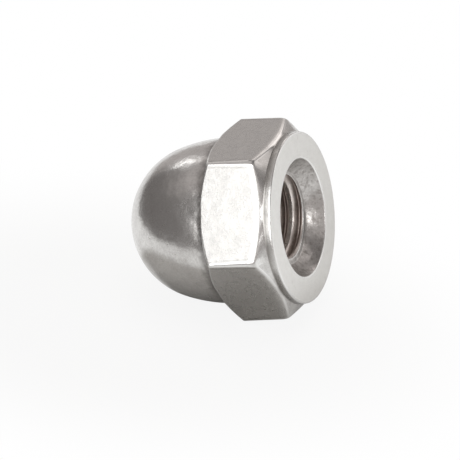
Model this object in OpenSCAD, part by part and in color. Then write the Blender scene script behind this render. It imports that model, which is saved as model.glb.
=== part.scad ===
// Hexagon cap nut with a washer face, a low round crown and a blind threaded hole in a dished recess.
// It lies as it comes to rest: on its crown and on one edge of the hexagon, with its mouth raised.
// Millimetres, +Z up. The origin is the centre of the washer face, on the thread's axis, and the
// mouth opens towards +X.

/* [Hexagon] */
// Width across the flats
across_flats = 9.525; // [7.5:0.005:12]
// Length of the hexagon with its washer face, up to the foot of the crown
hex_height = 3.97; // [3:0.05:6]
// Slope of the chamfer on the corners under the crown, in degrees
shoulder_slope = 33; // [15:1:45]
// How far outside the flats that chamfer begins
shoulder_outset = 0.04; // [0.02:0.01:0.4]

/* [Washer face] */
// How far the round washer face stays inside the flats
face_inset = 0.06; // [0.04:0.02:0.6]
// How far the washer face stands out from the hexagon
face_height = 0.4; // [0.1:0.05:1]
// Slope of the chamfer on the corners behind the washer face, in degrees
face_slope = 30; // [15:1:45]

/* [Crown] */
// Step from the flats in to the foot of the crown
crown_step = 0.27; // [0.2:0.01:0.8]
// Height of the crown above the hexagon
crown_height = 5.75; // [4.75:0.05:7]
// Radius of the crown's side in section
side_r = 9; // [7:0.1:20]
// Fillet at the foot of the crown
foot_fillet = 0.12; // [0.05:0.01:0.18]

/* [Threaded hole] */
// Minor diameter of the thread, at its crests
minor_d = 4.1; // [3:0.05:5]
// Metal left between the drill's point and the top of the crown
nose_wall = 1.3; // [0.6:0.05:3]
// Included angle of the drill's point, in degrees
drill_angle = 118; // [90:1:135]
// Diameter of the dished recess at the washer face
mouth_d = 6.4; // [5.8:0.05:7]
// Diameter of the flat floor of the recess, round the hole
floor_d = 5; // [4.8:0.05:5.6]
// Depth of the recess at its floor
dish_depth = 0.88; // [0.5:0.02:1.5]

/* [Hidden] */
$fn = 120;
// How far a cutting shape runs past what it cuts
overrun = 1;

flat_r = across_flats / 2;
corner_r = flat_r / cos(30);
overall_height = hex_height + crown_height;

// Both chamfers are cones round the axis, drawn out to just past the corners
rim_r = corner_r + overrun;
face_r = flat_r - face_inset;
face_rise = (rim_r - face_r) * tan(face_slope);
shoulder_r = flat_r + shoulder_outset;
shoulder_drop = (rim_r - shoulder_r) * tan(shoulder_slope);

// The side arc leaves the hexagon square to it, and the nose arc meets the side arc smoothly
crown_r = flat_r - crown_step;
side_x = crown_r - side_r;
nose_r = (2 * crown_r * side_r - crown_r ^ 2 - crown_height ^ 2) / (2 * (side_r - crown_height));
nose_z = overall_height - nose_r;
blend_angle = atan2(nose_z - hex_height, -side_x);
// Curves that meet smoothly overlap by this hair, so that rounding leaves no gap between them
arc_overlap = 0.0001;

// The fillet touches the hexagon's end and the side arc
foot_reach = side_r + foot_fillet;
foot_x = side_x + sqrt(foot_reach ^ 2 - foot_fillet ^ 2) - arc_overlap;
foot_z = hex_height + foot_fillet - arc_overlap;
foot_touch = [side_x, hex_height] + [foot_x - side_x, foot_z - hex_height] * side_r / foot_reach;

// The recess is part of a ball through its rim and the edge of its floor, centred outside the mouth
mouth_r = mouth_d / 2;
floor_r = floor_d / 2;
dish_out = (mouth_r ^ 2 - floor_r ^ 2 - dish_depth ^ 2) / (2 * dish_depth);
dish_r = norm([mouth_r, dish_out]);

// Hole: straight wall, drill point
hole_r = minor_d / 2;
point_height = hole_r / tan(drill_angle / 2);
hole_depth = overall_height - nose_wall - point_height;

// A table that touches the end of one flat and the crown stands at this angle to the axis. It
// touches the side arc, or the nose arc where the side arc ends too soon.
side_tilt = acos(side_r / (side_r + crown_step));
nose_reach = [flat_r, nose_z - hex_height];
nose_tilt = atan2(nose_reach[0], nose_reach[1]) - asin(nose_r / norm(nose_reach));
rest_tilt = side_tilt < blend_angle ? side_tilt : nose_tilt;

// Half section of the washer face and of what the two chamfers leave of the corners
module hexagon_section() {
    polygon([
        [0, 0], [face_r, 0], [face_r, face_height], [rim_r, face_height + face_rise],
        [rim_r, hex_height - shoulder_drop], [shoulder_r, hex_height], [0, hex_height]
    ]);
}

// Half section of the crown, with a stub that reaches down into the hexagon
module crown_section() {
    reach = side_r + overrun;
    intersection() {
        translate([0, hex_height]) square([rim_r, crown_height + overrun]);
        union() {
            translate([0, nose_z - arc_overlap]) circle(nose_r + arc_overlap);
            translate([side_x, hex_height]) intersection() {
                circle(side_r);
                polygon([[0, 0], [reach, 0], [reach, reach * tan(blend_angle)]]);
            }
        }
    }
    translate([0, hex_height / 2]) square([crown_r, hex_height / 2]);
}

// Half section of the fillet at the foot of the crown
module foot_section() {
    difference() {
        polygon([
            [crown_r / 2, hex_height / 2], [foot_x, hex_height / 2], [foot_x, foot_z],
            foot_touch, [crown_r / 2, foot_touch[1]]
        ]);
        translate([foot_x, foot_z]) circle(foot_fillet);
    }
}

// The whole outside: a turned blank cut by six flats
module outside() {
    intersection() {
        rotate_extrude() {
            hexagon_section();
            crown_section();
            foot_section();
        }
        translate([0, 0, -overrun]) rotate(30)
            cylinder(h = overall_height + 2 * overrun, r = corner_r, $fn = 6);
    }
}

// The recess in the washer face
module dish() {
    intersection() {
        translate([0, 0, -dish_out]) sphere(dish_r);
        translate([0, 0, -overrun]) cylinder(h = dish_depth + overrun, r = dish_r + overrun);
    }
}

// The blind hole, open at the washer face
module threaded_hole() {
    cylinder(h = hole_depth, r = hole_r);
    translate([0, 0, hole_depth]) cylinder(h = point_height, r1 = hole_r, r2 = 0);
}

// Modelled crown up on its washer face, then laid down on its side
module cap_nut() {
    color([0.72, 0.71, 0.69]) rotate([0, -90 - rest_tilt, 0]) difference() {
        outside();
        dish();
        threaded_hole();
    }
}

cap_nut();
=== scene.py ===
import math

import bmesh
import bpy
from mathutils import Matrix, Vector


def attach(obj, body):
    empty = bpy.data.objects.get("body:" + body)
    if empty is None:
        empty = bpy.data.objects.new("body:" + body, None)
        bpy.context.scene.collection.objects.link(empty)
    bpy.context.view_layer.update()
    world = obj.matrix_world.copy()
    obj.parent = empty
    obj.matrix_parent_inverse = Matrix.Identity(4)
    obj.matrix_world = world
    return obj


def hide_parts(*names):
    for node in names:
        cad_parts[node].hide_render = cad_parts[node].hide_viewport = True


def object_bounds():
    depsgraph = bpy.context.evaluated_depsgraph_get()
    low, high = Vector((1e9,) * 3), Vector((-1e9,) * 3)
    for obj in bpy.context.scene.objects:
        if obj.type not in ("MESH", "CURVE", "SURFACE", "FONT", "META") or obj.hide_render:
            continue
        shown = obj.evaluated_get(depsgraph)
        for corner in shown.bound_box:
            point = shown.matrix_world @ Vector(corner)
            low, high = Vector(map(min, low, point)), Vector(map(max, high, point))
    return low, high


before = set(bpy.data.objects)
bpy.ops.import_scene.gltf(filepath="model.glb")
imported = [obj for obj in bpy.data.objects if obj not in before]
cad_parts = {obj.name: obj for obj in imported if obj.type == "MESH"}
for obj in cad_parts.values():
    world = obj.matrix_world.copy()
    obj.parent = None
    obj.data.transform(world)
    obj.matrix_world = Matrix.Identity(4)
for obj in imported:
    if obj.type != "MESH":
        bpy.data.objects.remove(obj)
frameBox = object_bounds()  # the solid model's box
mm = 0.001
side = math.radians(60)  # one side of the hexagon
halfSide = side / 2

# sizes in millimetres and degrees, repeated from the solid model; faceInset is 0.07 more
# and crownHeight 0.003 less than there, and all the rounding is only here
capNut = {
    "acrossFlats": 9.525,
    "hexHeight": 3.97,  # washer face to foot of crown
    "shoulderSlope": 33.0,  # corner chamfer under the crown
    "shoulderOutset": 0.04,
    "faceInset": 0.13,  # washer face inside the flats
    "faceHeight": 0.4,
    "faceSlope": 30.0,  # corner chamfer behind the washer face
    "crownStep": 0.27,
    "crownHeight": 5.747,
    "sideRadius": 9.0,
    "footFillet": 0.12,
    "mouthRadius": 3.2,
    "floorRadius": 2.5,  # floor of the dished recess
    "dishDepth": 0.88,
    "dishStart": 0.12,  # shares of the dish left to the rounding at its two ends
    "dishEnd": 0.88,
    "entryRadius": 2.2,  # where the thread opens into the floor
    "entryDepth": 0.05,
    "entrySoftness": 0.002,
    "minorRadius": 2.05,
    "majorRadius": 2.413,
    "pitch": 0.794,
    "flankAngle": 30.0,
    "rootWidth": 0.0625,  # half the thread's flat root, as a share of the pitch
    "threadSoftness": 0.02,
    "threadStart": 0.35,  # share of a turn
    "threadEnd": 6.1,  # where the tap's lead begins to fade
    "threadFade": 0.5,
    "holeDepth": 7.188,
    "drillAngle": 118.0,
    "cornerRadiusCrown": 0.22,  # tumbled corners of the hexagon
    "cornerRadiusMouth": 0.4,
    "ridgeDip": 0.004,  # the flats dip a little before each ridge
    "ridgeDipWidth": 0.15,
    "ridgeEdge": 0.5,  # how rubbed a flat is beside its ridge, and how fast that fades
    "ridgeFade": 1.5,
    # the flats roll in towards the mouth: height above the edge, depth
    "rolls": ((0.36, 0.0), (0.16, 0.032), (0.03, 0.095)),
    "edgeBreak": 0.022,
    # rounding of the outside, from the crown's foot to the recess, and of the thread's entry
    "outsideTrims": (0.03, 0.05, 0.08, 0.08, 0.08, 0.04, 0.09, 0.07),
    "entryTrims": (0.08, 0.05),
    "trimShare": 0.32,  # the most that a round takes of the length beside it
    "supportRow": 0.02,  # a row beyond each round keeps the flats flat
    "supportShare": 0.15,
    "supportEdge": 0.3,
    "roundSteps": 4,
    "flatColumns": 15,  # columns on half a flat
    "cornerColumns": 12,
    "columnCrowding": 1.6,  # above 1, columns crowd towards the ridges
    "noseRows": 30,
    "sideRows": 12,
    "footRows": 5,
    "dishRows": 14,
    "threadRow": 0.02,
    "deepRow": 0.05,  # rows are wider where the thread is out of sight
    "deepFrom": 2.9,
    "endRow": 0.03,
    "pointRows": 4,
    "mergeWithin": 0.0005,
    # shares of dull film and painted shade in the hollows, and of rubbing, from 0 to 1
    "footFilmRow": 9,  # row of the crown's side where film and painted shade begin, and the rows they take
    "footFilmRows": 3.5,
    "shoulderFilm": 0.5,
    "wallFilm": 0.35,
    # the dips beside the ridges get painted shade, a thin dark line
    "dipFilm": 0.65,
    "floorFilm": 0.6,
    "entryEdge": 0.6,
    "crestEdge": 0.8,
    "crestFade": 4.0,
}
zones = ["tumbledCrown", "drawnFlats", "turnedCorner", "turnedFace", "formedRecess", "cutThread"]
crown, flats, wall, face, recess, thread = range(len(zones))
# corners of the outside, in the order that nutSection lists them
(atFoot, atShoulder, atTop, atRoll, atSecondRoll, atLow,
 atFaceFoot, atFaceRim, atMouth, atDish) = range(10)


def roundedPath(sizes, points, trims):
    # walks the points and rounds each inner one, with a support row on both sides
    steps = sizes["roundSteps"]
    path = [(points[0], 0.0, 0, 0)]  # place, edge, corner, step
    for i in range(1, len(points) - 1):
        corner = points[i]
        ends, supports = [], []
        for beside in (points[i - 1] - corner, points[i + 1] - corner):
            trim = min(trims[i - 1], beside.length * sizes["trimShare"])
            further = min(sizes["supportRow"], beside.length * sizes["supportShare"])
            ends.append(corner + beside.normalized() * trim)
            supports.append(ends[-1] + beside.normalized() * further)
        path.append((supports[0], sizes["supportEdge"], i, 0))
        for n in range(steps + 1):
            u = n / steps
            place = ends[0] * (1 - u) ** 2 + corner * 2 * u * (1 - u) + ends[1] * u * u
            path.append((place, 1.0, i, n + 1))
        path.append((supports[1], sizes["supportEdge"], i, steps + 2))
    path.append((points[-1], 0.0, len(points) - 1, 0))
    return path


def turnedPoint(x, y, turn):
    return x * math.cos(turn) - y * math.sin(turn), x * math.sin(turn) + y * math.cos(turn)


def hexPoint(sizes, column, radius):
    # a point on the hexagon with rounded ridges, how near a ridge it is, and its dip
    half, arc = sizes["flatColumns"], sizes["cornerColumns"]
    flat = sizes["acrossFlats"] / 2
    sector, place = divmod(column, 2 * half + arc)
    tangent = (flat - radius) * math.tan(halfSide)
    if place <= half or place >= half + arc:
        steps = place if place <= half else 2 * half + arc - place
        along = tangent * (1 - (1 - steps / half) ** sizes["columnCrowding"])
        away = (tangent - along) / sizes["ridgeDipWidth"]
        dip = math.sin(math.pi * away) ** 2 if away < 1 else 0.0
        x, y = flat - sizes["ridgeDip"] * dip, along
        ridge = 1.0 if steps == half else max(0.0, sizes["ridgeEdge"] - sizes["ridgeFade"] * away)
        if place > half:  # past the ridge, the next flat's first half mirrors this one
            x, y = turnedPoint(x, -y, side)
    else:
        lean = side * (place - half) / arc
        centre = (flat - radius) / math.cos(halfSide)
        x = centre * math.cos(halfSide) + radius * math.cos(lean)
        y = centre * math.sin(halfSide) + radius * math.sin(lean)
        ridge, dip = 1.0, 0.0
    return Vector((*turnedPoint(x, y, side * sector), 0)), ridge, dip


def smoothClamp(value, soft):
    # clamps to 0..1 with rounded knees
    low = (value + math.sqrt(value * value + soft)) / 2
    return 1 - ((1 - low) + math.sqrt((1 - low) ** 2 + soft)) / 2


def threadRadius(sizes, z, turn):
    # right-hand thread: the groove climbs with the angle
    pitch, depth = sizes["pitch"], sizes["majorRadius"] - sizes["minorRadius"]
    phase = (z / pitch - turn + sizes["threadStart"]) % 1.0
    fromRoot = abs(phase - 0.5) * pitch
    flank = depth * math.tan(math.radians(sizes["flankAngle"]))
    cut = (pitch * sizes["rootWidth"] + flank - fromRoot) / flank
    cut = smoothClamp(cut, sizes["threadSoftness"])
    fade = min(1.0, max(0.0, 1 - (z - sizes["threadEnd"]) / sizes["threadFade"]))
    groove = sizes["minorRadius"] + depth * cut * fade
    entry = sizes["entryRadius"] + sizes["dishDepth"] - z
    return (groove + entry + math.sqrt((groove - entry) ** 2 + sizes["entrySoftness"])) / 2


# every row below is: place, zone, edge, hollow (the share of dull film and painted shade)
def crownRows(sizes, out, up):
    # a round nose, tangent sides and a fillet at the foot
    base, reach, rise = sizes["hexHeight"], sizes["sideRadius"], sizes["crownHeight"]
    foot = sizes["footFillet"]
    width = sizes["acrossFlats"] / 2 - sizes["crownStep"]
    sideX = width - reach
    nose = (2 * width * reach - width**2 - rise**2) / (2 * (reach - rise))
    noseZ = base + rise - nose
    blend = math.atan2(noseZ - base, -sideX)
    footX = sideX + math.sqrt((reach + foot) ** 2 - foot**2)
    footLean = math.atan2(foot, footX - sideX)
    arcs = [  # centre, radius, first and last angle, rows
        (0.0, noseZ, nose, math.pi / 2, blend, sizes["noseRows"]),
        (sideX, base, reach, blend, footLean, sizes["sideRows"]),
        (footX, base + foot, foot, math.pi + footLean, 1.5 * math.pi, sizes["footRows"]),
    ]
    rows = []
    for part, (x, z, radius, first, last, count) in enumerate(arcs):
        for n in range(min(part, 1), count + 1):
            lean = first + (last - first) * n / count
            # the crown's foot gets dull film and painted shade, darkest in the fillet
            sideFilm = max(0.0, (n - sizes["footFilmRow"]) / sizes["footFilmRows"])
            place = out * (x + radius * math.cos(lean)) + up * (z + radius * math.sin(lean))
            rows.append((place, crown, 0.0, (0.0, sideFilm, 1.0)[part]))
    return rows


def outsideZone(corner, step):
    # a finish changes partway round a corner
    if corner < atFaceFoot or corner == atFaceFoot and step < 2:
        return flats
    if corner == atFaceFoot or corner == atFaceRim and step < 3:
        return wall
    return recess if corner == atDish or corner == atMouth and step > 4 else face


def outsideWear(sizes, corner, step, edge, ridge, dip):
    # rubbed on the outer corners and ridges; dull film and painted shade in the inner corners and
    # in the dips beside the ridges
    rubbed = 0.0 if corner in (atShoulder, atRoll, atSecondRoll, atFaceFoot) else edge
    filmShades = {atFoot: 1.0, atShoulder: sizes["shoulderFilm"],
             atFaceFoot: sizes["wallFilm"] if step < 3 else 1.0}
    hollow = filmShades.get(corner, 0.0)
    if atTop <= corner <= atLow:
        rubbed = max(rubbed, ridge)
        hollow = hollow if corner == atLow else sizes["dipFilm"] * dip
    return rubbed, hollow


def boreRows(sizes, out, up, turn):
    # the thread, the plain end of the hole and the point of the drill
    minor, deep = sizes["minorRadius"], sizes["holeDepth"]
    rows = []
    z = sizes["dishDepth"] + sizes["entryDepth"]
    while z < sizes["threadEnd"] + sizes["threadFade"] + sizes["deepRow"]:
        z += sizes["threadRow"] if z < sizes["deepFrom"] else sizes["deepRow"]
        cut = threadRadius(sizes, z, turn)
        root = (cut - minor) / (sizes["majorRadius"] - minor)
        rubbed = max(0.0, sizes["crestEdge"] - sizes["crestFade"] * root)
        # the deeper in the groove, the more dull film and painted shade
        rows.append((out * cut + up * z, thread, rubbed, root))
    point = minor / math.tan(math.radians(sizes["drillAngle"] / 2))
    ends = [(minor, deep - sizes["endRow"]), (minor, deep)]
    for n in range(1, sizes["pointRows"] + 1):
        share = n / sizes["pointRows"]
        ends.append((minor * (1 - share), deep + point * share))
    return rows + [(out * reach + up * z, thread, 0.0, 0.0) for reach, z in ends]


def nutSection(sizes, column):
    # every row of one column, from the top of the crown to the point of the drill
    flat, base, depth = sizes["acrossFlats"] / 2, sizes["hexHeight"], sizes["dishDepth"]
    mouth, floor, tiny = sizes["mouthRadius"], sizes["floorRadius"], sizes["edgeBreak"]
    wallTop = hexPoint(sizes, column, sizes["cornerRadiusCrown"])[0]
    wallLow, ridge, dip = hexPoint(sizes, column, sizes["cornerRadiusMouth"])
    out, outLow, up = wallTop.normalized(), wallLow.normalized(), Vector((0, 0, 1))
    turn = math.atan2(outLow.y, outLow.x) / (2 * math.pi)

    reach, shoulder = wallTop.length, flat + sizes["shoulderOutset"]
    drop = max(tiny, (reach - shoulder) * math.tan(math.radians(sizes["shoulderSlope"])))
    faceEdge, faceHeight = flat - sizes["faceInset"], sizes["faceHeight"]
    lift = faceHeight + (wallLow.length - faceEdge) * math.tan(math.radians(sizes["faceSlope"]))
    ballOut = (mouth**2 - floor**2 - depth**2) / (2 * depth)  # the dish is part of a ball
    ball = math.hypot(mouth, ballOut)
    rim = math.atan2(ballOut, mouth)
    sweep = math.atan2(ballOut + depth, floor) - rim

    def dish(share):
        lean = rim + sweep * share
        return outLow * (ball * math.cos(lean)) + up * (ball * math.sin(lean) - ballOut)

    rows = crownRows(sizes, out, up)
    foot = rows.pop()[0]
    first, last = sizes["dishStart"], sizes["dishEnd"]
    corners = [foot, out * min(shoulder, reach - tiny) + up * base, wallTop + up * (base - drop)]
    for above, inwards in sizes["rolls"]:
        corners.append(wallLow - outLow * inwards + up * (lift + above))
    corners += [outLow * faceEdge + up * faceHeight, outLow * faceEdge, outLow * mouth, dish(first)]
    for place, edge, corner, step in roundedPath(sizes, corners, sizes["outsideTrims"]):
        rubbed, hollow = outsideWear(sizes, corner, step, edge, ridge, dip)
        rows.append((place, outsideZone(corner, step), rubbed, hollow))

    count = sizes["dishRows"]
    for n in range(1, count):
        rows.append((dish(first + (last - first) * n / count), recess, 0.0, 0.0))
    corners = [dish(last), dish(1)]
    for z in (depth, depth + sizes["entryDepth"]):
        corners.append(outLow * threadRadius(sizes, z, turn) + up * z)
    for place, edge, corner, step in roundedPath(sizes, corners, sizes["entryTrims"]):
        rubbed = edge * sizes["entryEdge"] if corner == 2 else 0.0
        # dull film and painted shade where the dish meets the floor
        rows.append((place, recess, rubbed, sizes["floorFilm"] if corner == 1 else 0.0))
    return rows + boreRows(sizes, outLow, up, turn)


def restTurn(sizes):
    # lies on its crown and on one edge of the hexagon
    lean = math.acos(sizes["sideRadius"] / (sizes["sideRadius"] + sizes["crownStep"]))
    return Matrix.Rotation(-math.pi / 2 - lean, 4, "Y")


def makeCapNut(sizes):
    columns = 6 * (2 * sizes["flatColumns"] + sizes["cornerColumns"])
    sections = [nutSection(sizes, column) for column in range(columns)]
    bm = bmesh.new()
    rowOf = bm.verts.layers.int.new("row")
    edgeOf = bm.verts.layers.float.new("edge")
    hollowOf = bm.verts.layers.float.new("hollow")
    chain = []
    # half section of the turned blank, held clear of the axis
    for n, row in enumerate(sections[0]):
        vert = bm.verts.new((row[0].length + 1 + n * 0.01, 0, row[0].z))
        vert[rowOf] = n
        chain.append(vert)
    edges = [bm.edges.new(pair) for pair in zip(chain, chain[1:])]
    bmesh.ops.spin(bm, geom=chain + edges, cent=(0, 0, 0), axis=(0, 0, 1), angle=2 * math.pi,
                   steps=columns, use_merge=True, use_duplicate=False)
    for vert in bm.verts:  # milled to its six flats, and the thread cut
        column = round(math.atan2(vert.co.y, vert.co.x) / (2 * math.pi) * columns) % columns
        vert.co, zone, vert[edgeOf], vert[hollowOf] = sections[column][vert[rowOf]]
    for part in bm.faces:
        part.smooth = True
        part.material_index = max(sections[0][vert[rowOf]][1] for vert in part.verts)
    bmesh.ops.remove_doubles(bm, verts=bm.verts, dist=sizes["mergeWithin"])
    bmesh.ops.recalc_face_normals(bm, faces=bm.faces)
    bmesh.ops.transform(bm, matrix=Matrix.Scale(mm, 4) @ restTurn(sizes), verts=bm.verts)
    mesh = bpy.data.meshes.new("capNutMesh")
    bm.verts.layers.int.remove(rowOf)
    bm.to_mesh(mesh)
    bm.free()
    piece = bpy.data.objects.new("capNutFinish", mesh)
    bpy.context.scene.collection.objects.link(piece)
    return piece


nut = makeCapNut(capNut)
print("nut shaped:", len(nut.data.polygons), "faces")


def mathNode(tree, operation, first, second=None, third=None):
    # a Math node; each input is a socket or a number
    node = tree.nodes.new("ShaderNodeMath")
    node.operation = operation
    for socket, value in zip(node.inputs, (first, second, third)):
        if isinstance(value, (int, float)):
            socket.default_value = value
        elif value is not None:
            tree.links.new(value, socket)
    return node.outputs[0]


def rangeNode(tree, value, start, end, low, high):
    # a smooth Map Range node
    node = tree.nodes.new("ShaderNodeMapRange")
    node.interpolation_type = "SMOOTHSTEP"
    names = ("Value", "From Min", "From Max", "To Min", "To Max")
    for name, number in zip(names, (value, start, end, low, high)):
        if isinstance(number, (int, float)):
            node.inputs[name].default_value = number
        else:
            tree.links.new(number, node.inputs[name])
    return node.outputs[0]


def noiseNode(tree, place, scale, detail, rough):
    node = tree.nodes.new("ShaderNodeTexNoise")
    node.inputs["Detail"].default_value = detail
    node.inputs["Roughness"].default_value = rough
    tree.links.new(place, node.inputs["Vector"])
    if isinstance(scale, (int, float)):
        node.inputs["Scale"].default_value = scale
    else:
        tree.links.new(scale, node.inputs["Scale"])
    return node.outputs["Fac"]


def attributeNode(tree, name):
    node = tree.nodes.new("ShaderNodeAttribute")
    node.attribute_name = name
    return node.outputs["Fac"]


def startGroup(name, numbers, outputs):
    # every group takes a place and some numbers, and gives values
    group = bpy.data.node_groups.new(name, "ShaderNodeTree")
    group.interface.new_socket("Place", in_out="INPUT", socket_type="NodeSocketVector")
    for label in numbers:
        group.interface.new_socket(label, in_out="INPUT", socket_type="NodeSocketFloat")
    for label in outputs:
        group.interface.new_socket(label, in_out="OUTPUT", socket_type="NodeSocketFloat")
    given, made = group.nodes.new("NodeGroupInput"), group.nodes.new("NodeGroupOutput")
    return group, given.outputs, made.inputs


def steelGrain():
    # fine grain over soft patches; Size is the grain's size
    patchScale, fineShare = 0.17, 0.55
    darkest, lightest = 0.36, 0.64
    group, given, made = startGroup("steelGrain", ["Size"], ["Shade", "Height"])
    scale = mathNode(group, "DIVIDE", 1.0, given["Size"])
    fine = noiseNode(group, given["Place"], scale, 4, 0.65)
    coarse = mathNode(group, "MULTIPLY", scale, patchScale)
    patches = noiseNode(group, given["Place"], coarse, 3, 0.55)
    patches = mathNode(group, "MULTIPLY", patches, 1 - fineShare)
    shade = mathNode(group, "MULTIPLY_ADD", fine, fineShare, patches)
    group.links.new(rangeNode(group, shade, darkest, lightest, 0, 1), made["Shade"])
    group.links.new(fine, made["Height"])
    return group


def turnedRings():
    # tool marks round the thread's axis; Spacing is the feed, Wander how far a ring strays
    depthShare, strayScale = 0.7, 900
    darkest, lightest = 0.3, 0.7
    group, given, made = startGroup("turnedRings", ["Spacing", "Wander"], ["Shade", "Height"])
    split = group.nodes.new("ShaderNodeSeparateXYZ")
    group.links.new(given["Place"], split.inputs[0])
    x, y, z = split.outputs
    across = mathNode(group, "MULTIPLY_ADD", y, y, mathNode(group, "MULTIPLY", x, x))
    reach = mathNode(group, "MULTIPLY_ADD", z, depthShare, mathNode(group, "SQRT", across))
    stray = noiseNode(group, given["Place"], strayScale, 2, 0.5)
    reach = mathNode(group, "MULTIPLY_ADD", stray, given["Wander"], reach)
    marks = group.nodes.new("ShaderNodeTexNoise")
    marks.noise_dimensions = "1D"
    marks.inputs["Scale"].default_value = 1
    marks.inputs["Detail"].default_value = 3
    marks.inputs["Roughness"].default_value = 0.7
    group.links.new(mathNode(group, "DIVIDE", reach, given["Spacing"]), marks.inputs["W"])
    mark = marks.outputs["Fac"]
    group.links.new(rangeNode(group, mark, darkest, lightest, 0, 1), made["Shade"])
    group.links.new(mark, made["Height"])
    return group


def handlingMarks():
    # dull stains, and a gentle waviness left by forming and tumbling
    cloudScale, stainStart, stainFade = 2.7, 0.78, 0.16
    group, given, made = startGroup("handlingMarks", ["Size", "Cover"], ["Stain", "Wave"])
    scale = mathNode(group, "DIVIDE", 1.0, given["Size"])
    wave = noiseNode(group, given["Place"], scale, 2, 0.45)
    finer = mathNode(group, "MULTIPLY", scale, cloudScale)
    cloud = noiseNode(group, given["Place"], finer, 5, 0.62)
    start = mathNode(group, "SUBTRACT", stainStart, given["Cover"])
    end = mathNode(group, "ADD", start, stainFade)
    group.links.new(rangeNode(group, cloud, start, end, 0, 1), made["Stain"])
    group.links.new(wave, made["Wave"])
    return group


def brokenUp(group, given, attribute, spread):
    # one of the nut's own attributes, with noise added on both sides of it
    scale = mathNode(group, "DIVIDE", 1.0, given["Size"])
    noise = noiseNode(group, given["Place"], scale, 4, 0.6)
    noise = mathNode(group, "MULTIPLY_ADD", noise, spread, -spread / 2)
    return mathNode(group, "ADD", noise, attributeNode(group, attribute))


def polishedEdges():
    # edges rubbed bright, a little broken up
    spread, start, full = 0.9, 0.25, 0.95
    group, given, made = startGroup("polishedEdges", ["Size"], ["Rubbed"])
    rubbed = brokenUp(group, given, "edge", spread)
    group.links.new(rangeNode(group, rubbed, start, full, 0, 1), made["Rubbed"])
    return group


def filmAndPaintedShade():
    # dull film where tumbling doesn't reach, and painted shade, in the hollows, the dips beside the
    # ridges and the roots of the thread
    spread, start, full = 1.1, 0.1, 1.0
    group, given, made = startGroup("filmAndPaintedShade", ["Size", "Amount"], ["Film"])
    filmAndShade = rangeNode(group, brokenUp(group, given, "hollow", spread), start, full, 0, 1)
    group.links.new(mathNode(group, "MULTIPLY", filmAndShade, given["Amount"]), made["Film"])
    return group


# one finish for each zone; sizes and heights in millimetres; the film colour darkens the hollows
# with dull film and painted shade
finishes = {
    "tumbledCrown": {
        "light": (0.71, 0.7, 0.68), "dark": (0.61, 0.595, 0.58), "stain": (0.55, 0.53, 0.51),
        "rubbed": (0.76, 0.755, 0.74), "filmAndShade": (0.2, 0.19, 0.18), "grimeAndShade": 0.8,
        "rough": (0.2, 0.27), "stainRough": 0.08, "edgeRough": -0.06,
        "grain": 0.12, "grainHeight": 0.0016, "wave": 0.9, "waveHeight": 0.035, "cover": 0.2,
        "rings": None,
    },
    "drawnFlats": {
        "light": (0.7, 0.69, 0.67), "dark": (0.61, 0.6, 0.585), "stain": (0.57, 0.555, 0.54),
        "rubbed": (0.8, 0.795, 0.78), "filmAndShade": (0.3, 0.285, 0.27), "grimeAndShade": 0.8,
        "rough": (0.2, 0.3), "stainRough": 0.05, "edgeRough": -0.08,
        "grain": 0.08, "grainHeight": 0.002, "wave": 1.6, "waveHeight": 0.008, "cover": 0.18,
        "rings": None,
    },
    "turnedCorner": {
        "light": (0.62, 0.61, 0.59), "dark": (0.52, 0.51, 0.49), "stain": (0.46, 0.445, 0.43),
        "rubbed": (0.76, 0.755, 0.74), "filmAndShade": (0.24, 0.225, 0.21), "grimeAndShade": 0.6,
        "rough": (0.24, 0.34), "stainRough": 0.08, "edgeRough": -0.06,
        "grain": 0.09, "grainHeight": 0.003, "wave": 0.9, "waveHeight": 0.02, "cover": 0.2,
        "rings": {"share": 0.3, "spacing": 0.06, "height": 0.0015},
    },
    "turnedFace": {
        "light": (0.83, 0.82, 0.795), "dark": (0.74, 0.73, 0.705), "stain": (0.7, 0.685, 0.66),
        "rubbed": (0.82, 0.815, 0.8), "filmAndShade": (0.4, 0.38, 0.36), "grimeAndShade": 0.5,
        "rough": (0.28, 0.36), "stainRough": 0.08, "edgeRough": -0.06,
        "grain": 0.07, "grainHeight": 0.0012, "wave": 1.3, "waveHeight": 0.012, "cover": 0.2,
        "rings": {"share": 0.4, "spacing": 0.05, "height": 0.0012},
    },
    "formedRecess": {
        "light": (0.64, 0.62, 0.6), "dark": (0.48, 0.465, 0.45), "stain": (0.36, 0.34, 0.325),
        "rubbed": (0.78, 0.77, 0.755), "filmAndShade": (0.3, 0.28, 0.265), "grimeAndShade": 0.6,
        "rough": (0.24, 0.34), "stainRough": 0.08, "edgeRough": -0.06,
        "grain": 0.12, "grainHeight": 0.0018, "wave": 0.7, "waveHeight": 0.045, "cover": 0.3,
        "rings": {"share": 0.2, "spacing": 0.09, "height": 0.002},
    },
    "cutThread": {
        "light": (0.85, 0.79, 0.75), "dark": (0.7, 0.64, 0.6), "stain": (0.5, 0.44, 0.41),
        "rubbed": (0.97, 0.95, 0.92), "filmAndShade": (0.29, 0.23, 0.205), "grimeAndShade": 0.7,
        "rough": (0.3, 0.4), "stainRough": 0.1, "edgeRough": -0.08,
        "grain": 0.08, "grainHeight": 0.004, "wave": 0.8, "waveHeight": 0.02, "cover": 0.22,
        "rings": {"share": 0.3, "spacing": 0.06, "height": 0.002},
    },
}
# the same on every zone, in millimetres
wear = {"edgeSize": 0.25, "filmShadeSize": 0.4, "ringWander": 0.02}


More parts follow.
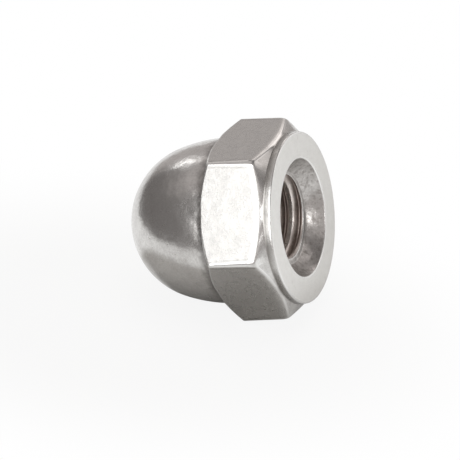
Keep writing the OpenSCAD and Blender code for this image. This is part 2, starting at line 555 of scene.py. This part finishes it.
def steelFinish(name, finish, groups):
    steel = bpy.data.materials.new(name)
    steel.use_nodes = True
    tree = steel.node_tree
    nodes, links = tree.nodes, tree.links
    shader = nodes["Principled BSDF"]
    shader.inputs["Metallic"].default_value = 1
    where = nodes.new("ShaderNodeTexCoord")
    turned = nodes.new("ShaderNodeMapping")  # the pattern stands on the thread's axis
    turned.inputs["Rotation"].default_value = restTurn(capNut).inverted().to_euler()
    links.new(where.outputs["Object"], turned.inputs["Vector"])

    def placed(label, **values):
        node = nodes.new("ShaderNodeGroup")
        node.node_tree = groups[label]
        links.new(turned.outputs["Vector"], node.inputs["Place"])
        for socket, value in values.items():
            node.inputs[socket].default_value = value
        return node.outputs

    def blended(share, first, second):
        node = nodes.new("ShaderNodeMix")
        node.data_type = "RGBA"
        links.new(share, node.inputs["Factor"])
        for socket, colour in ((node.inputs[6], first), (node.inputs[7], second)):
            if isinstance(colour, tuple):
                socket.default_value = (*colour, 1)
            else:
                links.new(colour, socket)
        return node.outputs[2]

    def bumped(height, reach, below):
        bump = nodes.new("ShaderNodeBump")
        bump.inputs["Distance"].default_value = reach * mm
        links.new(height, bump.inputs["Height"])
        if below:
            links.new(below, bump.inputs["Normal"])
        return bump.outputs["Normal"]

    grain = placed("steelGrain", Size=finish["grain"] * mm)
    marks = placed("handlingMarks", Size=finish["wave"] * mm, Cover=finish["cover"])
    edges = placed("polishedEdges", Size=wear["edgeSize"] * mm)
    grimeAndShade = placed("filmAndPaintedShade", Size=wear["filmShadeSize"] * mm, Amount=finish["grimeAndShade"])
    shade = grain["Shade"]
    normal = bumped(marks["Wave"], finish["waveHeight"], None)
    normal = bumped(grain["Height"], finish["grainHeight"], normal)
    if finish["rings"]:
        share = finish["rings"]["share"]
        rings = placed("turnedRings", Spacing=finish["rings"]["spacing"] * mm,
                       Wander=wear["ringWander"] * mm)
        shade = mathNode(tree, "MULTIPLY", shade, 1 - share)
        shade = mathNode(tree, "MULTIPLY_ADD", rings["Shade"], share, shade)
        normal = bumped(rings["Height"], finish["rings"]["height"], normal)
    links.new(normal, shader.inputs["Normal"])

    colour = blended(shade, finish["dark"], finish["light"])
    colour = blended(marks["Stain"], colour, finish["stain"])
    # dull film and painted shade in the hollows and the roots of the thread
    colour = blended(grimeAndShade["Film"], colour, finish["filmAndShade"])
    colour = blended(edges["Rubbed"], colour, finish["rubbed"])
    links.new(colour, shader.inputs["Base Color"])

    low, high = finish["rough"]
    rough = mathNode(tree, "MULTIPLY_ADD", shade, low - high, high)
    rough = mathNode(tree, "MULTIPLY_ADD", marks["Stain"], finish["stainRough"], rough)
    rough = mathNode(tree, "MULTIPLY_ADD", edges["Rubbed"], finish["edgeRough"], rough)
    links.new(rough, shader.inputs["Roughness"])
    return steel


groups = {
    "steelGrain": steelGrain(),
    "turnedRings": turnedRings(),
    "handlingMarks": handlingMarks(),
    "polishedEdges": polishedEdges(),
    "filmAndPaintedShade": filmAndPaintedShade(),
}
for zoneName in zones:
    nut.data.materials.append(steelFinish(zoneName, finishes[zoneName], groups))
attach(nut, "root")
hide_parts("cap_nut")
print("nut finished:", len(nut.data.materials), "steel finishes")

# the camera looks down at the nut from the front, a little from the mouth's side; degrees, mm
camera = {
    "azimuth": 18.8814,
    "elevation": 29.2849,
    "roll": 1.2778,
    "aside": -3.936,
    "rise": -0.676,
    "distance": 238.1,
    "lens": 347.1,
    "sensor": 36,
    "clip": (0.01, 10),  # metres
}


def placeCamera(sizes):
    lensData = bpy.data.cameras.new("camera")
    lensData.lens = sizes["lens"]
    lensData.sensor_width = sizes["sensor"]
    lensData.clip_start, lensData.clip_end = sizes["clip"]
    turned = (Matrix.Rotation(math.radians(sizes["azimuth"]), 4, "Z")
              @ Matrix.Rotation(math.radians(90 - sizes["elevation"]), 4, "X")
              @ Matrix.Rotation(math.radians(sizes["roll"]), 4, "Z"))
    offset = Vector((sizes["aside"], sizes["rise"], sizes["distance"])) * mm
    eye = bpy.data.objects.new("camera", lensData)
    eye.matrix_world = turned @ Matrix.Translation(offset)
    bpy.context.scene.collection.objects.link(eye)
    bpy.context.scene.camera = eye
    return turned.col[2].to_3d()  # from the nut towards the camera


towardsCamera = placeCamera(camera)
print("camera placed")

axis = restTurn(capNut) @ Vector((0, 0, -1))  # out of the mouth


def addStage(bm, name, material, seenByCamera=False, seenByMatt=False, shades=False):
    # links one stage object; the drape, sheet and card show only in the metal
    mesh = bpy.data.meshes.new(name + "Mesh")
    bm.to_mesh(mesh)
    bm.free()
    piece = bpy.data.objects.new(name, mesh)
    bpy.context.scene.collection.objects.link(piece)
    mesh.materials.append(material)
    piece.visible_camera = seenByCamera
    piece.visible_diffuse = seenByMatt
    piece.visible_shadow = shades


def glowing(name, colour, strength):
    material = bpy.data.materials.new(name)
    material.use_nodes = True
    nodes, links = material.node_tree.nodes, material.node_tree.links
    nodes.remove(nodes["Principled BSDF"])
    glow = nodes.new("ShaderNodeEmission")
    glow.inputs["Color"].default_value = colour
    glow.inputs["Strength"].default_value = strength
    links.new(glow.outputs["Emission"], nodes["Material Output"].inputs["Surface"])
    return material


def vectorNode(tree, operation, first, second=None):
    node = tree.nodes.new("ShaderNodeVectorMath")
    node.operation = operation
    tree.links.new(first, node.inputs[0])
    if second:
        node.inputs[1].default_value = second
    return node.outputs["Value"]


def fade(tree, value, values):
    # a fade over millimetres
    start, end, low, high = values
    return rangeNode(tree, value, start * mm, end * mm, low, high)


def fadeRound(tree, place, spot):
    # a fade by the distance from a place
    centre, values = spot
    return fade(tree, vectorNode(tree, "DISTANCE", place, [value * mm for value in centre]), values)


def mirroredRay(tree, path):
    return mathNode(tree, "MAXIMUM", path["Is Glossy Ray"], path["Is Transmission Ray"])


def facingNut(direction, distance):
    # a place and turn at this distance, with its back to the nut
    away = Vector(direction).normalized()
    turn = away.to_track_quat("Z", "Y").to_matrix().to_4x4()
    return Matrix.Translation(away * distance * mm) @ turn


# paper under the nut. Lengths are in millimetres, and a fade is: where it starts,
# where it ends, level at the start, level at the end
floor = {
    "radius": 38.0,
    "centre": (5.0, 16.0),
    "segments": 96,
    "colour": (0.42, 0.405, 0.39, 1),
    "rough": 0.95,
    "specular": 0.1,
    "shadeCentre": (7.5, 5.4, 5.6),  # added to a place before its distance is taken
    "shadeScale": (1.0, 1.35, 1.0),
    "eyeFade": (8.0, 22.8, 0.9, 1.0),  # share of plain white in what the camera sees
    # the other fades paint light and shade on the paper, seen only in what the metal mirrors
    "paintedShadeFade": (4.6, 7.2, 0.0, 1.0),  # painted shade of the nut on the paper
    # a little painted glow in the middle of the painted shade
    "shadeGlow": (1.0, 6.0, 0.07, 0.0),
    "nearPaintedShades": (  # closer painted shades: centre, fade
        ((-2.5, -4.6, -5.6), (3.0, 4.4, 0.0, 1.0)),
        ((2.6, 0.6, -5.6), (2.6, 5.0, 0.45, 1.0)),
    ),
    "paintedLightSpot": ((-8.7, 0.3, -5.6), (1.2, 3.4, 0.7, 0.0)),  # painted light beside the crown
    "frontFade": (-20.0, -4.0, 0.38, 1.0),  # less painted white in front of the nut
    "rightSlope": -0.5,
    "rightFade": (-3.0, 5.0, 0.4, 1.0),  # and to the right of the mouth
    "closeFade": (2.0, 9.0, 0.6, 1.0),
    "leftFade": (3.0, -2.0, 0.0, 1.0),
    "mouthFades": (("X", (-0.8, 0.8, 0.0, 0.12)), ("X", (2.4, 1.2, 0.0, 1.0)),
                   ("Y", (0.5, -1.0, 0.0, 1.0))),  # a little painted white under the mouth
}


def mirroredPaper(tree, place, reach, sizes):
    # painted light and shade on the paper: how much white glow the metal mirrors in place of the
    # plain paper
    split = tree.nodes.new("ShaderNodeSeparateXYZ")
    tree.links.new(place, split.inputs[0])
    spot = split.outputs
    white = fade(tree, reach, sizes["paintedShadeFade"])
    for shade in sizes["nearPaintedShades"]:
        white = mathNode(tree, "MULTIPLY", white, fadeRound(tree, place, shade))
    across = mathNode(tree, "MULTIPLY_ADD", spot["Y"], sizes["rightSlope"], spot["X"])
    right = mathNode(tree, "MULTIPLY", fade(tree, across, sizes["rightFade"]),
                     fade(tree, spot["X"], sizes["closeFade"]))
    beside = mathNode(tree, "MAXIMUM", right, fade(tree, spot["X"], sizes["leftFade"]))
    beside = mathNode(tree, "MULTIPLY", beside, fade(tree, spot["Y"], sizes["frontFade"]))
    white = mathNode(tree, "MULTIPLY", white, beside)
    mouth = 1.0
    for letter, values in sizes["mouthFades"]:
        mouth = mathNode(tree, "MULTIPLY", fade(tree, spot[letter], values), mouth)
    glow = fade(tree, reach, sizes["shadeGlow"])
    # a painted glow under the nut, painted white under the mouth and a painted bright spot beside
    # the crown
    for other in (glow, mouth, fadeRound(tree, place, sizes["paintedLightSpot"])):
        white = mathNode(tree, "MAXIMUM", white, other)
    return white


def whitePaper(sizes):
    # white to the eye with a faint shade from the lamps; the metal mirrors painted white glow and
    # painted shade placed on the paper
    material = bpy.data.materials.new("whitePaper")
    material.use_nodes = True
    tree = material.node_tree
    nodes, links = tree.nodes, tree.links
    paper = nodes["Principled BSDF"]
    paper.inputs["Base Color"].default_value = sizes["colour"]
    paper.inputs["Roughness"].default_value = sizes["rough"]
    paper.inputs["Specular IOR Level"].default_value = sizes["specular"]
    path = nodes.new("ShaderNodeLightPath").outputs
    place = nodes.new("ShaderNodeTexCoord").outputs["Object"]
    centred = nodes.new("ShaderNodeMapping")
    centred.inputs["Location"].default_value = [value * mm for value in sizes["shadeCentre"]]
    centred.inputs["Scale"].default_value = sizes["shadeScale"]
    links.new(place, centred.inputs["Vector"])
    reach = vectorNode(tree, "LENGTH", centred.outputs["Vector"])
    seen = fade(tree, reach, sizes["eyeFade"])
    seen = mathNode(tree, "MULTIPLY", seen, path["Is Camera Ray"])
    mirrored = mirroredPaper(tree, place, reach, sizes)
    mirrored = mathNode(tree, "MULTIPLY", mirroredRay(tree, path), mirrored)
    mix = nodes.new("ShaderNodeMixShader")
    links.new(mathNode(tree, "ADD", seen, mirrored), mix.inputs["Fac"])
    links.new(paper.outputs["BSDF"], mix.inputs[1])
    links.new(nodes.new("ShaderNodeEmission").outputs["Emission"], mix.inputs[2])
    links.new(mix.outputs[0], nodes["Material Output"].inputs["Surface"])
    return material


def makeFloor(sizes):
    bm = bmesh.new()
    bmesh.ops.create_circle(bm, cap_ends=True, segments=sizes["segments"],
                            radius=sizes["radius"] * mm)
    x, y = sizes["centre"]
    bmesh.ops.translate(bm, vec=(x * mm, y * mm, frameBox[0].z), verts=bm.verts)
    addStage(bm, "floor", whitePaper(sizes), seenByCamera=True, seenByMatt=True, shades=True)


# a dimly glowing tent round the nut, with brighter glowing sides, that only the metal mirrors:
# painted light and shade in the reflections
drape = {
    "radius": 450.0,
    "segments": (48, 24),
    "edge": -0.16,  # height of its lower edge, as a share of its radius
    "lean": (-0.15, -0.26, 1),
    "colour": (1.0, 0.94, 0.92, 1),
    "dark": 0.2,
    "brightGlowSides": (  # direction, cosines where it begins and is full, level
        ((-0.492, 0.853, 0.174), 0.84, 0.97, 0.5),
        ((0.45, -0.827, 0.342), 0.35, 0.85, 0.5),
        ((-0.5, 0, 0.866), 0.8, 0.96, 0.5),
        ((0.465, 0.874, 0.139), 0.85, 0.96, 0.6),
        ((-0.115, 0.821, 0.559), 0.95, 0.988, 1.25),
        ((-0.56, 0.522, 0.643), 0.984, 0.997, 0.95),
        ((0.585, 0.558, 0.588), 0.92, 0.99, 0.85),
    ),
}


def darkDrape(sizes):
    material = glowing("darkDrape", sizes["colour"], 1.0)
    tree = material.node_tree
    place = tree.nodes.new("ShaderNodeTexCoord").outputs["Object"]
    reach, dark = sizes["radius"] * mm, sizes["dark"]
    level = dark
    for direction, begins, full, glowLevel in sizes["brightGlowSides"]:
        facing = vectorNode(tree, "DOT_PRODUCT", place, direction)
        patch = rangeNode(tree, facing, begins * reach, full * reach, dark, glowLevel)
        level = mathNode(tree, "MAXIMUM", patch, level)
    tree.links.new(level, tree.nodes["Emission"].inputs["Strength"])
    return material


def makeDrape(sizes):
    reach = sizes["radius"] * mm
    columns, rows = sizes["segments"]
    bm = bmesh.new()
    bmesh.ops.create_uvsphere(bm, u_segments=columns, v_segments=rows, radius=reach)
    bmesh.ops.bisect_plane(bm, geom=bm.verts[:] + bm.edges[:] + bm.faces[:], clear_inner=True,
                           plane_co=(0, 0, sizes["edge"] * reach), plane_no=sizes["lean"])
    addStage(bm, "drape", darkDrape(sizes))


# a curved sheet of light round the thread's axis, in front of the nut
lightSheet = {
    "radius": 350.0,
    "ends": (-0.398, 0.42),  # its edges, as cosines to the thread's axis
    "turn": (28.0, -38.0),  # and round that axis, degrees
    "steps": 24,
    "light": 2.66,
}


def makeSheet(sizes):
    front = (towardsCamera - axis * axis.dot(towardsCamera)).normalized()
    across = axis.cross(front)
    reach = sizes["radius"] * mm
    low, high = (math.radians(turn) for turn in sizes["turn"])
    outwards = front * math.cos(low) + across * math.sin(low)
    bm = bmesh.new()
    ends = []
    for cosine in sizes["ends"]:
        along = cosine / math.sqrt(1 - cosine**2)
        ends.append(bm.verts.new((axis * along + outwards) * reach))
    edge = bm.edges.new(ends)
    bmesh.ops.spin(bm, geom=ends + [edge], cent=(0, 0, 0), axis=axis, angle=high - low,
                   steps=sizes["steps"])
    light = glowing("lightSheet", (1, 1, 1, 1), sizes["light"])
    addStage(bm, "lightSheet", light, shades=True)


# a dimly glowing card far behind, seen only in the metal: a painted reflection in the corner beyond
# the upper flat
glowingCard = {
    "direction": (0.1219, 0.9924, 0.0175),
    "away": 300.0,
    "width": 95.0,
    "colour": (1.0, 0.94, 0.92, 1),
    "light": 0.42,
}


def makeCard(sizes):
    bm = bmesh.new()
    bmesh.ops.create_grid(bm, x_segments=1, y_segments=1, size=sizes["width"] / 2 * mm)
    place = facingNut(sizes["direction"], sizes["away"])
    bmesh.ops.transform(bm, matrix=place, verts=bm.verts)
    addStage(bm, "card", glowing("glowingCard", sizes["colour"], sizes["light"]))


makeFloor(floor)
makeDrape(drape)
makeSheet(lightSheet)
makeCard(glowingCard)
print("stage set: floor, drape, light sheet and card")

# size in millimetres, power in watts
lamps = {
    "topBox": {
        "direction": (0.02, 0.08, 1),
        "size": (260, 260),
        "power": 0.6,
        "mirrored": False,
    },
    "cornerBox": {
        "direction": (0.667, 0.644, 0.375),
        "size": (120, 70),
        "power": 0.03,
        "mirrored": True,
    },
    "edgeBox": {
        "direction": (-0.72, 0.5, 0.48),
        "size": (50, 50),
        "power": 0.026,
        "mirrored": True,
    },
    "sparkLamp": {
        "direction": (0.847, -0.342, 0.407),
        "size": (35, 90),
        "power": 0.1,
        "mirrored": True,
    },
}
lampDistance = 350.0
roomLight = 0.6  # what the white surroundings give to matt surfaces


def hangLamp(name, lamp, distance):
    data = bpy.data.lights.new(name, "AREA")
    data.shape = "RECTANGLE"
    data.size, data.size_y = (length * mm for length in lamp["size"])
    data.energy = lamp["power"]
    box = bpy.data.objects.new(name, data)
    box.visible_glossy = lamp["mirrored"]
    box.matrix_world = facingNut(lamp["direction"], distance)
    bpy.context.scene.collection.objects.link(box)


def studioWorld(roomLight):
    # white to the camera and in the metal, dimmer as light on matt surfaces
    world = bpy.data.worlds.new("studio")
    world.use_nodes = True
    tree = world.node_tree
    path = tree.nodes.new("ShaderNodeLightPath").outputs
    seen = mathNode(tree, "MAXIMUM", mirroredRay(tree, path), path["Is Camera Ray"])
    level = mathNode(tree, "MULTIPLY_ADD", seen, 1 - roomLight, roomLight)
    background = tree.nodes["Background"]
    background.inputs["Color"].default_value = (1, 1, 1, 1)
    tree.links.new(level, background.inputs["Strength"])
    bpy.context.scene.world = world


for name, lamp in lamps.items():
    hangLamp(name, lamp, lampDistance)
studioWorld(roomLight)
print("lamps hung:", len(lamps))
bpy.context.scene.view_settings.view_transform = "Standard"
